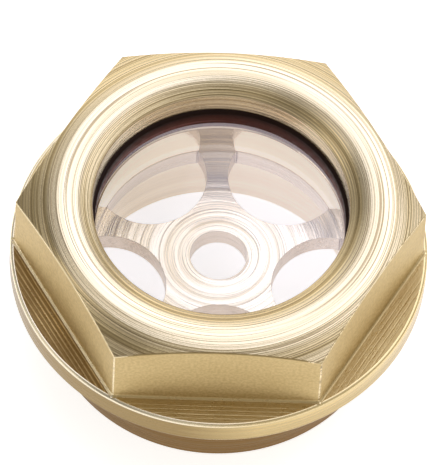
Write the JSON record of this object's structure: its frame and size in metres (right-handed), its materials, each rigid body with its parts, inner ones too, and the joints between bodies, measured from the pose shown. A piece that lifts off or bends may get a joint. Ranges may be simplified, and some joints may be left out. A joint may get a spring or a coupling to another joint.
{
  "type": "oil level sight glass plug",
  "caption": "Brass hexagon-head screw plug with a round glass window and a slotted reflector disc behind it, for seeing the fluid level in a tank.",
  "frame": {"origin": "centre of the spigot's end face, on the plug's axis", "axes": "+Z along the axis from the spigot towards the window, -Y square to one flat of the hexagon, +X along that flat"},
  "size_m": [0.059, 0.059, 0.0299],
  "materials": {
    "body_brass": "turned and milled, bare",
    "seal_rubber": "smooth, dark brown",
    "window_glass": "clear, polished",
    "spacer_brass": "fine turned, bright",
    "reflector_brass": "turned, bright, fine concentric marks"
  },
  "bodies": {
    "root": {"body": "body_brass", "seal_ring": "seal_rubber", "glass": "window_glass", "spacer_ring": "spacer_brass", "reflector": "reflector_brass"}
  },
  "joints": []
}
